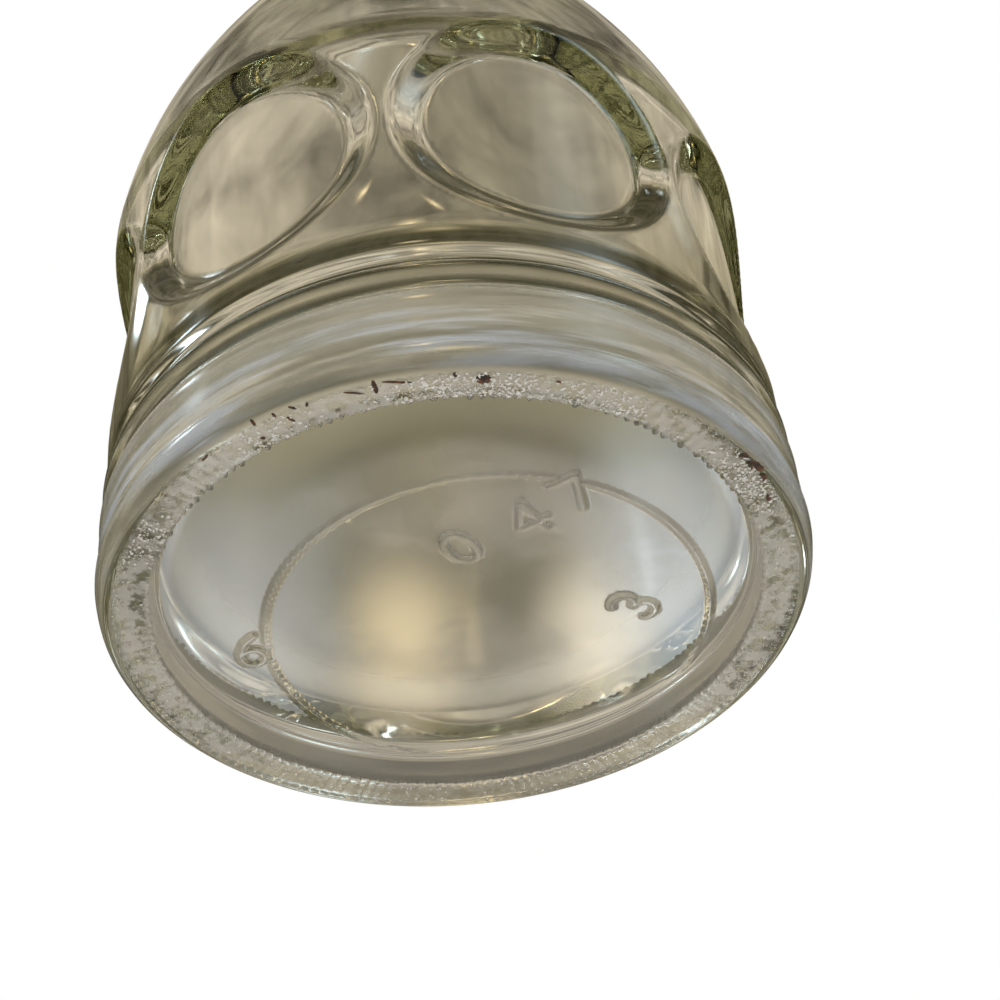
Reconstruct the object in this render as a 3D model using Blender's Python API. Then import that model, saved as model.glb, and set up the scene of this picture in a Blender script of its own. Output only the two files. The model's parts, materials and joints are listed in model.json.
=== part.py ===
import math

import bpy
import bmesh
from mathutils import Vector

MM = 0.001

# Foot and heel
HEEL_R = 46.0 * MM
HEEL_ROUND_WIDTH = 2.2 * MM
HEEL_ROUND_HEIGHT = 2.8 * MM
BEARING_RING_WIDTH = 4.2 * MM
BEARING_EDGE_ROUND = 0.5 * MM
PUSH_UP_DEPTH = 5.1 * MM
PUSH_UP_DRAFT = 0.5 * MM
PUSH_UP_CORNER_ROUND = 1.0 * MM
PUSH_UP_CROWN = 0.9 * MM

# Ring above the foot: a bead between two shallow coves
RING_BOTTOM = 11.5 * MM
RING_CREST = 16.6 * MM
RING_TOP = 20.4 * MM
COVE_DEPTH = 0.8 * MM
BEAD_PROUD = 0.1 * MM

# Wall with its row of thumbprints
WALL_FOOT_R = 45.4 * MM
WALL_TOP_R = 46.2 * MM
WALL_TOP = 65.0 * MM
GLASS_THICKNESS = 4.3 * MM
PRINT_COUNT = 7
PRINT_FIRST_TURN = math.radians(20.4)
PRINT_R = 19.9 * MM
PRINT_RIM_WIDTH = 3.0 * MM
PRINT_CENTRE = 45.0 * MM
PRINT_DEPTH = 0.9 * MM

# Shoulder and neck
SHOULDER_HEIGHT = 85.0 * MM
SHOULDER_LEAN = 4.6 * MM
SHOULDER_DROOP = 33.0 * MM
NECK_R = 16.6 * MM
NECK_FLARE = 2.0 * MM
NECK_FLARE_HEIGHT = 30.0 * MM
NECK_LENGTH = 32.0 * MM
BORE_R = 12.2 * MM
LIP_R = 20.4 * MM
LIP_FLARE_HEIGHT = 5.0 * MM
LIP_HEIGHT = 5.0 * MM
LIP_ROUND = 1.8 * MM
MOUTH_CHAMFER = 0.9 * MM

# Cavity
BASE_THICKNESS = 9.6 * MM
FLOOR_CROWN = 1.2 * MM
FLOOR_CORNER_WIDTH = 17.0 * MM
FLOOR_CORNER_HEIGHT = 12.0 * MM

# Stopper: glass head and shank, with a ribbed sealing sleeve
FIT_GAP = 0.3 * MM
SLEEVE_WALL = 2.2 * MM
SLEEVE_LENGTH = 22.0 * MM
SLEEVE_TAPER = 0.5 * MM
SLEEVE_FLANGE_R = 15.4 * MM
SLEEVE_FLANGE_THICKNESS = 1.6 * MM
RIB_COUNT = 5
RIB_PROUD = 1.0 * MM
RIB_TOP = 4.2 * MM
RIB_PITCH = 3.4 * MM
RIB_THICKNESS = 1.4 * MM
SHANK_TIP = 2.4 * MM
SHANK_TIP_ROUND = 1.6 * MM
SEAT_R = 16.0 * MM
SEAT_THICKNESS = 3.6 * MM
SEAT_ROUND = 1.2 * MM
WAIST_R = 9.2 * MM
WAIST_HEIGHT = 4.4 * MM
KNOB_R = 21.0 * MM
KNOB_HEIGHT = 38.0 * MM
KNOB_CROWN_FLAT = 6.0 * MM
KNOB_PRINT_COUNT = 7
KNOB_PRINT_R = 7.8 * MM
KNOB_PRINT_HOLLOW = 0.8 * MM

# Facets of the round shapes
BODY_STEPS = PRINT_COUNT * 10
STOPPER_STEPS = 42
SLEEVE_STEPS = 32
PRINT_STEPS = 28
KNOB_PRINT_STEPS = 16
OVERRUN = 2.0 * MM
MERGE = 0.002 * MM
SMOOTH_ANGLE = math.radians(28.0)


def arc(centre, width, height, start, end, steps):
    """Points on an ellipse from one angle to another, both included."""
    points = []
    for i in range(steps + 1):
        angle = math.radians(start + (end - start) * i / steps)
        points.append((centre[0] + width * math.cos(angle), centre[1] + height * math.sin(angle)))
    return points


def bezier(a, b, c, d, steps):
    """Points on a cubic curve, both ends included."""
    points = []
    for i in range(steps + 1):
        t = i / steps
        u = 1 - t
        weights = (u * u * u, 3 * u * u * t, 3 * u * t * t, t * t * t)
        points.append(tuple(sum(w * p[k] for w, p in zip(weights, (a, b, c, d))) for k in (0, 1)))
    return points


def tidied(outline):
    """The outline without points that repeat the one before."""
    kept = [outline[0]]
    for point in outline[1:]:
        if math.dist(point, kept[-1]) > MERGE:
            kept.append(point)
    return kept


def make_material(name, colour, roughness, transmission, ior):
    material = bpy.data.materials.new(name)
    material.use_nodes = True
    shader = material.node_tree.nodes["Principled BSDF"]
    shader.inputs["Base Color"].default_value = colour
    shader.inputs["Roughness"].default_value = roughness
    shader.inputs["Metallic"].default_value = 0.0
    shader.inputs["Transmission Weight"].default_value = transmission
    shader.inputs["IOR"].default_value = ior
    return material


def object_from(name, shape, material):
    """Turns a bmesh into a smooth shaded object with outward faces."""
    bmesh.ops.remove_doubles(shape, verts=shape.verts, dist=MERGE)
    bmesh.ops.recalc_face_normals(shape, faces=shape.faces)
    mesh = bpy.data.meshes.new(name)
    shape.to_mesh(mesh)
    shape.free()
    mesh.shade_smooth()
    mesh.set_sharp_from_angle(angle=SMOOTH_ANGLE)
    if material:
        mesh.materials.append(material)
    obj = bpy.data.objects.new(name, mesh)
    bpy.context.scene.collection.objects.link(obj)
    return obj


def turned(name, outline, steps, material, closed=False):
    """Spins an outline of (radius, height) points about the Z axis."""
    shape = bmesh.new()
    points = [shape.verts.new((radius, 0, height)) for radius, height in tidied(outline)]
    pairs = list(zip(points, points[1:]))
    if closed:
        pairs.append((points[-1], points[0]))
    edges = [shape.edges.new(pair) for pair in pairs]
    bmesh.ops.spin(
        shape,
        geom=points + edges,
        cent=Vector(),
        axis=Vector((0, 0, 1)),
        angle=math.tau,
        steps=steps,
        use_merge=True,
    )
    return object_from(name, shape, material)


def cut_with(target, cutters):
    for cutter in cutters:
        cutter.hide_render = True
        cutter.display_type = "WIRE"
        modifier = target.modifiers.new(cutter.name, "BOOLEAN")
        modifier.operation = "DIFFERENCE"
        modifier.solver = "EXACT"
        modifier.object = cutter


def wall_radius(height):
    """Outer radius of the plain wall between the ring and the shoulder."""
    share = (height - RING_TOP) / (WALL_TOP - RING_TOP)
    return WALL_FOOT_R + (WALL_TOP_R - WALL_FOOT_R) * share


def shoulder_ends():
    """The four guide points of the shoulder's outer curve."""
    top = WALL_TOP + SHOULDER_HEIGHT
    return (
        (WALL_TOP_R, WALL_TOP),
        (WALL_TOP_R - SHOULDER_LEAN, WALL_TOP + SHOULDER_DROOP),
        (NECK_R + NECK_FLARE, top - NECK_FLARE_HEIGHT),
        (NECK_R, top),
    )


def mouth_height():
    return WALL_TOP + SHOULDER_HEIGHT + NECK_LENGTH + LIP_FLARE_HEIGHT + LIP_HEIGHT


def foot_outline():
    """From the middle of the push-up, over the bearing ring, to the foot's widest line."""
    ring_outer = HEEL_R - HEEL_ROUND_WIDTH
    ring_inner = ring_outer - BEARING_RING_WIDTH
    edge = BEARING_EDGE_ROUND
    floor_r = ring_inner - PUSH_UP_DRAFT
    corner = PUSH_UP_CORNER_ROUND
    points = [(0.0, PUSH_UP_DEPTH + PUSH_UP_CROWN)]
    for share in (1 / 3, 2 / 3):
        points.append(((floor_r - corner) * share, PUSH_UP_DEPTH + PUSH_UP_CROWN * (1 - share * share)))
    points += arc((floor_r - corner, PUSH_UP_DEPTH - corner), corner, corner, 90, 0, 3)
    points += arc((ring_inner + edge, edge), edge, edge, 180, 270, 2)
    points += arc(
        (ring_outer, HEEL_ROUND_HEIGHT), HEEL_ROUND_WIDTH, HEEL_ROUND_HEIGHT, -90, 0, 4
    )
    return points


def cove(low, high, low_r, high_r, steps):
    """A shallow hollow between two heights, deepest half way."""
    points = []
    for i in range(1, steps):
        share = i / steps
        line = low_r + (high_r - low_r) * share
        dip = COVE_DEPTH * (1 - math.cos(math.tau * share)) / 2
        points.append((line - dip, low + (high - low) * share))
    return points


def ring_outline():
    """The two coves with the bead between them."""
    crest_r = (HEEL_R + WALL_FOOT_R) / 2 + BEAD_PROUD
    points = [(HEEL_R, RING_BOTTOM)]
    points += cove(RING_BOTTOM, RING_CREST, HEEL_R, crest_r, 4)
    points.append((crest_r, RING_CREST))
    points += cove(RING_CREST, RING_TOP, crest_r, WALL_FOOT_R, 4)
    points.append((WALL_FOOT_R, RING_TOP))
    return points


def neck_outline():
    """Up the neck, round the lip and into the mouth."""
    lip_low = mouth_height() - LIP_HEIGHT
    neck_top = lip_low - LIP_FLARE_HEIGHT
    lip_flat_r = LIP_R - LIP_ROUND
    points = [(NECK_R, neck_top)]
    points += arc((lip_flat_r, neck_top), NECK_R - lip_flat_r, LIP_FLARE_HEIGHT, 0, 90, 3)
    points += arc((lip_flat_r, lip_low + LIP_ROUND), LIP_ROUND, LIP_ROUND, -90, 0, 2)
    points += arc((lip_flat_r, mouth_height() - LIP_ROUND), LIP_ROUND, LIP_ROUND, 0, 90, 2)
    points.append((BORE_R + MOUTH_CHAMFER, mouth_height()))
    points.append((BORE_R, mouth_height() - MOUTH_CHAMFER))
    return points


def cavity_outline():
    """Down the bore and the inner wall to the middle of the cavity's floor."""
    low, low_guide, high_guide, high = shoulder_ends()
    neck_wall = NECK_R - BORE_R
    drop = GLASS_THICKNESS / 2
    curve = bezier(
        (low[0] - GLASS_THICKNESS, low[1] - drop),
        (low_guide[0] - GLASS_THICKNESS, low_guide[1] - drop),
        (high_guide[0] - neck_wall, high_guide[1] - drop),
        (BORE_R, high[1] - drop),
        7,
    )
    floor = PUSH_UP_DEPTH + BASE_THICKNESS
    corner_top = floor + FLOOR_CORNER_HEIGHT
    side_r = wall_radius(corner_top) - GLASS_THICKNESS
    flat_r = side_r - FLOOR_CORNER_WIDTH
    points = curve[::-1]
    points += arc((flat_r, corner_top), FLOOR_CORNER_WIDTH, FLOOR_CORNER_HEIGHT, 0, -90, 5)
    points.append((flat_r / 2, floor + FLOOR_CROWN / 2))
    points.append((0.0, floor + FLOOR_CROWN))
    return points


def dish(name, rings, proud, steps, place):
    """A closed cutter with a round dished face.

    Each ring is (radius, height), from the middle outwards. A call to place turns a point
    across, up and out from the dish's middle into a point of the piece that is cut.
    """
    shape = bmesh.new()
    middle = shape.verts.new(place(0.0, 0.0, rings[0][1]))
    back = shape.verts.new(place(0.0, 0.0, proud))
    loops = []
    for ring_r, height in rings[1:]:
        loop = []
        for i in range(steps):
            angle = math.tau * i / steps
            loop.append(shape.verts.new(place(ring_r * math.cos(angle), ring_r * math.sin(angle), height)))
        loops.append(loop)
    for i in range(steps):
        j = (i + 1) % steps
        shape.faces.new((middle, loops[0][i], loops[0][j]))
        shape.faces.new((back, loops[-1][j], loops[-1][i]))
        for inner, outer in zip(loops, loops[1:]):
            shape.faces.new((inner[i], outer[i], outer[j], inner[j]))
    return object_from(name, shape, None)


def print_cutter(index):
    """The thumbprint's shape: it follows the wall and has a sloped rim."""
    turn = PRINT_FIRST_TURN + math.tau * index / PRINT_COUNT
    floor_r = PRINT_R - PRINT_RIM_WIDTH
    reach = PRINT_R + PRINT_RIM_WIDTH * OVERRUN / PRINT_DEPTH
    rings = [(floor_r * share, -PRINT_DEPTH) for share in (0.0, 1 / 3, 2 / 3, 1.0)]
    rings.append((reach, OVERRUN))
    middle_r = wall_radius(PRINT_CENTRE)

    def place(across, up, out):
        angle = turn + across / middle_r
        radius = wall_radius(PRINT_CENTRE + up) + out
        return (radius * math.sin(angle), -radius * math.cos(angle), PRINT_CENTRE + up)

    return dish(f"thumbprint_cutter_{index + 1}", rings, PRINT_R, PRINT_STEPS, place)


def make_body():
    outline = foot_outline()
    outline += ring_outline()
    outline += bezier(*shoulder_ends(), 9)
    outline += neck_outline()
    outline += cavity_outline()
    glass = make_material("decanter_glass", (0.93, 0.96, 0.90, 1.0), 0.02, 1.0, 1.52)
    body = turned("glass_body", outline, BODY_STEPS, glass)
    cut_with(body, [print_cutter(index) for index in range(PRINT_COUNT)])
    return body


def sleeve_bore():
    return BORE_R - FIT_GAP - RIB_PROUD - SLEEVE_WALL


def make_sleeve(mount):
    """The ribbed sleeve; heights are measured from the mouth's plane."""
    flange_low = FIT_GAP
    flange_high = flange_low + SLEEVE_FLANGE_THICKNESS
    tube_r = sleeve_bore() + SLEEVE_WALL
    bottom = flange_low - SLEEVE_LENGTH
    points = [(sleeve_bore(), flange_high), (SLEEVE_FLANGE_R, flange_high)]
    points += [(SLEEVE_FLANGE_R, flange_low), (tube_r, flange_low)]
    for i in range(RIB_COUNT):
        rib = flange_low - RIB_TOP - RIB_PITCH * i
        points.append((tube_r, rib + RIB_THICKNESS / 2))
        points.append((tube_r + RIB_PROUD, rib + RIB_THICKNESS / 4))
        points.append((tube_r + RIB_PROUD, rib))
        points.append((tube_r, rib - RIB_THICKNESS / 2))
    points += [(tube_r - SLEEVE_TAPER, bottom), (sleeve_bore(), bottom)]
    plastic = make_material("sleeve_plastic", (0.86, 0.85, 0.80, 1.0), 0.45, 0.0, 1.5)
    sleeve = turned("sealing_sleeve", points, SLEEVE_STEPS, plastic, closed=True)
    sleeve.parent = mount
    return sleeve


def knob_print_cutter(index, knob_middle):
    """A dish of a large ball that leaves a round print on the knob."""
    turn = PRINT_FIRST_TURN + math.tau * index / KNOB_PRINT_COUNT
    ball_r = (KNOB_PRINT_R**2 + KNOB_PRINT_HOLLOW**2) / (2 * KNOB_PRINT_HOLLOW)
    flat = math.sqrt(KNOB_R**2 - KNOB_PRINT_R**2) - KNOB_PRINT_HOLLOW
    reach = KNOB_PRINT_R + OVERRUN
    rings = []
    for share in (0.0, 1 / 3, 2 / 3, 1.0):
        ring_r = reach * share
        rings.append((ring_r, flat + ball_r - math.sqrt(ball_r**2 - ring_r**2)))

    def place(across, up, out):
        return (
            out * math.sin(turn) + across * math.cos(turn),
            across * math.sin(turn) - out * math.cos(turn),
            knob_middle + up,
        )

    return dish(f"knob_print_cutter_{index + 1}", rings, KNOB_R * 2, KNOB_PRINT_STEPS, place)


def make_stopper(mount):
    """The glass stopper; heights are measured from the mouth's plane."""
    shank_r = sleeve_bore() - FIT_GAP
    tip = FIT_GAP - SLEEVE_LENGTH - SHANK_TIP
    seat_low = FIT_GAP + SLEEVE_FLANGE_THICKNESS + FIT_GAP
    seat_high = seat_low + SEAT_THICKNESS
    knob_low = seat_high + WAIST_HEIGHT
    knob_middle = knob_low + KNOB_HEIGHT / 2
    knob_end = math.degrees(math.asin(WAIST_R / KNOB_R))
    crown_end = math.degrees(math.acos(KNOB_CROWN_FLAT / KNOB_R))
    points = [(0.0, tip), (shank_r - SHANK_TIP_ROUND, tip), (shank_r, tip + SHANK_TIP_ROUND)]
    points += [(shank_r, seat_low), (SEAT_R - SEAT_ROUND, seat_low), (SEAT_R, seat_low + SEAT_ROUND)]
    points += [(SEAT_R, seat_high - SEAT_ROUND), (SEAT_R - SEAT_ROUND, seat_high)]
    points += bezier(
        (SEAT_R - SEAT_ROUND, seat_high),
        (WAIST_R, seat_high),
        (WAIST_R, seat_high),
        (WAIST_R, knob_low),
        4,
    )
    points += arc((0.0, knob_middle), KNOB_R, KNOB_HEIGHT / 2, knob_end - 90, crown_end, 14)
    points.append((0.0, points[-1][1]))
    glass = make_material("stopper_glass", (0.94, 0.96, 0.92, 1.0), 0.02, 1.0, 1.52)
    stopper = turned("glass_stopper", points, STOPPER_STEPS, glass)
    stopper.parent = mount
    cutters = [knob_print_cutter(index, knob_middle) for index in range(KNOB_PRINT_COUNT)]
    for cutter in cutters:
        cutter.parent = mount
    cut_with(stopper, cutters)
    return stopper


def main():
    for obj in list(bpy.data.objects):
        bpy.data.objects.remove(obj, do_unlink=True)
    make_body()
    mount = bpy.data.objects.new("stopper_axis", None)
    mount.location = (0.0, 0.0, mouth_height())
    bpy.context.scene.collection.objects.link(mount)
    make_sleeve(mount)
    make_stopper(mount)


main()
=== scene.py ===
import json
import math

import bpy
import bmesh
import numpy as np
from mathutils import Matrix, Vector

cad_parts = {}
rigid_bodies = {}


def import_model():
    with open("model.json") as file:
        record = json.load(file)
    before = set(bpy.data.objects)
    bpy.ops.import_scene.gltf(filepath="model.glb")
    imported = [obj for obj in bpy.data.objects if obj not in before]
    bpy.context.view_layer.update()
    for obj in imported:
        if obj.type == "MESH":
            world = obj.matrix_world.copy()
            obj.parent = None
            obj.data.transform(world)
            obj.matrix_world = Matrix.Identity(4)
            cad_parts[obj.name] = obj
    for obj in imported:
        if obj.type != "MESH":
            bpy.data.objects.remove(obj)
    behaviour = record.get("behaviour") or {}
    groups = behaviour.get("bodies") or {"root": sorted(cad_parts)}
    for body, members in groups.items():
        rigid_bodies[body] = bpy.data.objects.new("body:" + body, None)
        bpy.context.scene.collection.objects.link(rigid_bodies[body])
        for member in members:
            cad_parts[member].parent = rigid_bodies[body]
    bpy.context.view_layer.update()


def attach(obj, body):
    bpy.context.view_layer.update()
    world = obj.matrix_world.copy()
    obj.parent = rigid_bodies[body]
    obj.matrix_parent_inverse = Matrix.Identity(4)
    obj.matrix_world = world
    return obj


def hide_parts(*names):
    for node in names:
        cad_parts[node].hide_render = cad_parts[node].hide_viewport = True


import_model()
mm = 0.001
tau = math.tau
print("frame loaded")


# shared curve helpers, all in millimetres: points are (radius, height)
def ovalPoints(centre, width, height, start, end, steps):
    angles = np.radians(np.linspace(start, end, steps + 1))
    return [(centre[0] + width * math.cos(a), centre[1] + height * math.sin(a)) for a in angles]


def bendPoints(a, b, c, d, steps):
    points = []
    for t in np.linspace(0, 1, steps + 1):
        u = 1 - t
        mix = (u ** 3, 3 * u * u * t, 3 * u * t * t, t ** 3)
        points.append(tuple(sum(m * p[k] for m, p in zip(mix, (a, b, c, d))) for k in (0, 1)))
    return points


def linePoints(a, b, steps):
    return [(a[0] + (b[0] - a[0]) * t, a[1] + (b[1] - a[1]) * t) for t in np.linspace(0, 1, steps + 1)]


def softStep(low, high, value):
    t = np.clip((value - low) / (high - low), 0, 1)
    return t * t * (3 - 2 * t)


def latheMesh(name, zones):
    # each zone is (points round, outline); neighbours' counts are whole multiples of each other
    rings = []
    for count, outline in zones:
        for point in outline:
            if rings and math.dist(point, rings[-1][1]) < 0.004 and count == rings[-1][0]:
                continue
            rings.append((count, point))
    corners, faces, starts = [], [], []
    for count, (radius, height) in rings:
        starts.append(len(corners))
        if radius < 0.01:
            corners.append((0.0, 0.0, height))
            continue
        for angle in np.arange(count) * tau / count:
            corners.append((radius * math.sin(angle), -radius * math.cos(angle), height))
    for k in range(len(rings) - 1):
        (countA, (radiusA, _)), (countB, (radiusB, _)) = rings[k], rings[k + 1]
        a, b = starts[k], starts[k + 1]
        if radiusA < 0.01:
            faces += [(a, b + (i + 1) % countB, b + i) for i in range(countB)]
        elif radiusB < 0.01:
            faces += [(a + i, a + (i + 1) % countA, b) for i in range(countA)]
        elif countA == countB:
            faces += [(a + i, a + (i + 1) % countA, b + (i + 1) % countB, b + i) for i in range(countA)]
        else:
            # the corners of the coarse ring fan out to those of the fine one
            few, many = sorted((countA, countB))
            coarse, dense = (a, b) if countA == few else (b, a)
            ratio = many // few
            half = ratio // 2
            for i in range(few):
                j = (i + 1) % few
                fine = [dense + (ratio * i + n) % many for n in range(ratio + 1)]
                fans = [(coarse + i, fine[n + 1], fine[n]) for n in range(half)]
                fans.append((coarse + i, coarse + j, fine[half]))
                fans += [(coarse + j, fine[n + 1], fine[n]) for n in range(half, ratio)]
                faces += fans if countA == few else [fan[::-1] for fan in fans]
    mesh = bpy.data.meshes.new(name)
    mesh.from_pydata([tuple(n * mm for n in corner) for corner in corners], [], faces)
    mesh.update()
    return mesh


def outwardFaces(mesh):
    shape = bmesh.new()
    shape.from_mesh(mesh)
    bmesh.ops.remove_doubles(shape, verts=shape.verts, dist=0.002 * mm)
    bmesh.ops.recalc_face_normals(shape, faces=shape.faces)
    if shape.calc_volume(signed=True) < 0:
        bmesh.ops.reverse_faces(shape, faces=shape.faces)
    shape.to_mesh(mesh)
    shape.free()
    mesh.shade_smooth()


def addObject(name, mesh):
    obj = bpy.data.objects.new(name, mesh)
    bpy.context.scene.collection.objects.link(obj)
    return obj


def meshPositions(mesh):
    flat = np.zeros(len(mesh.vertices) * 3)
    mesh.vertices.foreach_get("co", flat)
    return flat.reshape(-1, 3)


def setPositions(mesh, positions):
    mesh.vertices.foreach_set("co", positions.astype(np.float32).ravel())
    mesh.update()


# node helpers for materials, the world and Geometry Nodes
def feed(socket, value):
    if isinstance(value, bpy.types.NodeSocket):
        socket.id_data.links.new(value, socket)
    else:
        socket.default_value = value


def addNode(tree, kind, *given, **settings):
    # what is given goes to the node's inputs in their order
    node = tree.nodes.new(kind)
    for key, value in settings.items():
        setattr(node, key, value)
    for socket, value in zip(node.inputs, given):
        feed(socket, value)
    return node


def fill(node, values):
    for key, value in values.items():
        feed(node.inputs[key], value)
    return node


def mathNode(tree, operation, *values, clamp=False):
    return addNode(tree, "ShaderNodeMath", *values, operation=operation, use_clamp=clamp).outputs[0]


def rangeNode(tree, value, fromLow, fromHigh, toLow, toHigh, smooth=False):
    kind = "SMOOTHSTEP" if smooth else "LINEAR"
    marks = (value, fromLow, fromHigh, toLow, toHigh)
    return addNode(tree, "ShaderNodeMapRange", *marks, interpolation_type=kind).outputs[0]


def times(tree, *values):
    result = values[0]
    for value in values[1:]:
        result = mathNode(tree, "MULTIPLY", result, value)
    return result


def plus(tree, *values):
    result = values[0]
    for value in values[1:]:
        result = mathNode(tree, "ADD", result, value)
    return result


def minus(tree, first, second):
    return mathNode(tree, "SUBTRACT", first, second)


def riseNode(tree, value, low, high, smooth=True):
    # 0 below the low mark and 1 above the high one, in millimetres
    return rangeNode(tree, value, low * mm, high * mm, 0.0, 1.0, smooth)


def fallNode(tree, value, low, high, smooth=True):
    return rangeNode(tree, value, low * mm, high * mm, 1.0, 0.0, smooth)


def bandNode(tree, value, riseLow, riseHigh, fallLow, fallHigh):
    return times(tree, riseNode(tree, value, riseLow, riseHigh), fallNode(tree, value, fallLow, fallHigh))


def lengthNode(tree, across, along):
    return mathNode(tree, "SQRT", plus(tree, times(tree, across, across), times(tree, along, along)))


def splitNode(tree, vector):
    return addNode(tree, "ShaderNodeSeparateXYZ", vector).outputs


def joinNode(tree, *values):
    return addNode(tree, "ShaderNodeCombineXYZ", *values).outputs[0]


def vectorNode(tree, operation, *values):
    return addNode(tree, "ShaderNodeVectorMath", *values, operation=operation).outputs[0]


def scaleNode(tree, vector, factor):
    node = addNode(tree, "ShaderNodeVectorMath", vector, operation="SCALE")
    return fill(node, {"Scale": factor}).outputs[0]


def measureNode(tree, operation, *values):
    # the distance or dot product of two vectors
    return addNode(tree, "ShaderNodeVectorMath", *values, operation=operation).outputs["Value"]


def mixColours(tree, share, first, second, blend="MIX"):
    node = addNode(tree, "ShaderNodeMix", share, data_type="RGBA", blend_type=blend)
    feed(node.inputs[6], first)
    feed(node.inputs[7], second)
    return node.outputs[2]


def bumpNode(tree, height, strength, distance):
    bump = addNode(tree, "ShaderNodeBump")
    return fill(bump, {"Strength": strength, "Distance": distance * mm, "Height": height}).outputs[0]


def noiseNode(tree, vector, scale, detail, roughness, distortion=0.0):
    noise = addNode(tree, "ShaderNodeTexNoise")
    given = {"Scale": scale, "Detail": detail, "Roughness": roughness, "Distortion": distortion}
    return fill(noise, {"Vector": vector, **given}).outputs[0]


def placeNode(tree):
    return addNode(tree, "ShaderNodeTexCoord").outputs["Object"]


def newMaterial(name):
    material = bpy.data.materials.new(name)
    material.use_nodes = True
    tree = material.node_tree
    return material, tree, tree.nodes["Principled BSDF"], tree.nodes["Material Output"]


def mixShaders(tree, share, first, second, output):
    both = addNode(tree, "ShaderNodeMixShader", share, first.outputs[0], second.outputs[0])
    feed(output.inputs["Surface"], both.outputs[0])


# the glass of the decanter
bodyGlass = {
    "tint": (0.992, 0.992, 0.985, 1.0),
    "ior": 1.52,
    "depthColour": (0.475, 0.485, 0.19, 1.0),
    "depthDensity": 10.0,
    "polish": 0.012,       # roughness of the fire-polished wall
    "ringScuff": 0.35,     # roughness of the worn bearing ring
    "haze": 0.09,          # roughness of the dull patches under the foot
    "cavityHaze": 0.45,    # roughness of the dried film on the cavity's floor
    "pitting": 0.015,
    "ringPitting": 1.4,
    "bloomColour": (0.80, 0.745, 0.68, 1.0),    # dull white bloom of wear and dried water
    "ringBloom": 0.42,     # share of bloom on the ring, under the foot, round the heel and in the cove
    "footBloom": 0.22,
    "heelBloom": 0.30,
    "coveBloom": 0.30,
    "heelWarmSheen": (0.92, 0.84, 0.66, 1.0),    # the two shades of the streaks round the heel: painted warm and cool sheen
    "heelCoolSheen": (0.72, 0.80, 0.92, 1.0),
    "frontShadeTint": (0.56, 0.58, 0.47, 1.0),    # painted shade: deeper olive tint on the glass in front of the foot
    "streakHoop": 4.0,     # the streaks' noise is read on a circle this small, so that they run long
    "backWear": 0.30,      # share of the ring's wear that its far side shows
    "backFilm": 0.30,      # share of the heel's bloom on its far side
    "frontFilm": 0.15,     # share of the foot's bloom that is left in the zone of painted olive shade
    "stain": (-0.0387, -0.0220, 0.0),    # rusty water mark on the ring: place, core and reach
    "stainCore": 1.2,
    "stainReach": 4.2,
    "stainEdge": 3.0,
    "stainShare": 0.75,
    "stainColour": (0.42, 0.20, 0.13, 1.0),
}

# where the wear lies, in millimetres: what rises and falls has four marks, what does one has two
wearZones = {
    "ringRadius": (39.0, 40.1, 42.6, 44.3),
    "ringHeight": (0.3, 2.6),
    "ringBack": (20.0, 34.0),
    "footHeight": (6.5, 7.5),
    "footRadius": (31.0, 37.0),
    "filmBase": (13.6, 14.2),
    "filmTop": (17.0, 26.0),
    "filmRadius": (38.0, 41.5),
    "heelRadius": (43.6, 45.2),
    "heelHeight": (5.0, 15.5),
    "heelFront": (-27.0, -8.0),
    "frontRadius": (24.0, 29.0, 38.5, 39.6),
    "frontReach": (-23.0, -13.0),
    "coveRadius": (33.5, 37.5, 39.4, 40.2),
    "coveReach": (-24.0, -6.0),
}

# scale, detail and roughness of each noise, and its range: from where to where, and the share at both ends
wearNoise = {
    "patches": ((420.0, 6.0, 0.72), (0.41, 0.57, 0.12, 1.0)),
    "clouds": ((45.0, 4.0, 0.6), (0.40, 0.68, 0.25, 1.0)),
    "streaks": ((520.0, 4.0, 0.6), (0.38, 0.66, 0.1, 1.0)),
    "shades": ((260.0, 3.0, 0.55), (0.42, 0.58, 0.0, 1.0)),
}

# the thin film and fine pits on all the glass: noises, range and dulling of the film, bump and its reach
glassFilm = {
    "film": (60.0, 4.0, 0.6),
    "filmRange": (0.35, 0.75),
    "filmDulling": 2.6,
    "pits": (900.0, 3.0, 0.7),
    "bump": (0.25, 0.12),
}


def patchNodes(tree, place, name):
    noise = noiseNode(tree, place, *wearNoise[name][0])
    return noise, rangeNode(tree, noise, *wearNoise[name][1], True)


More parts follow.
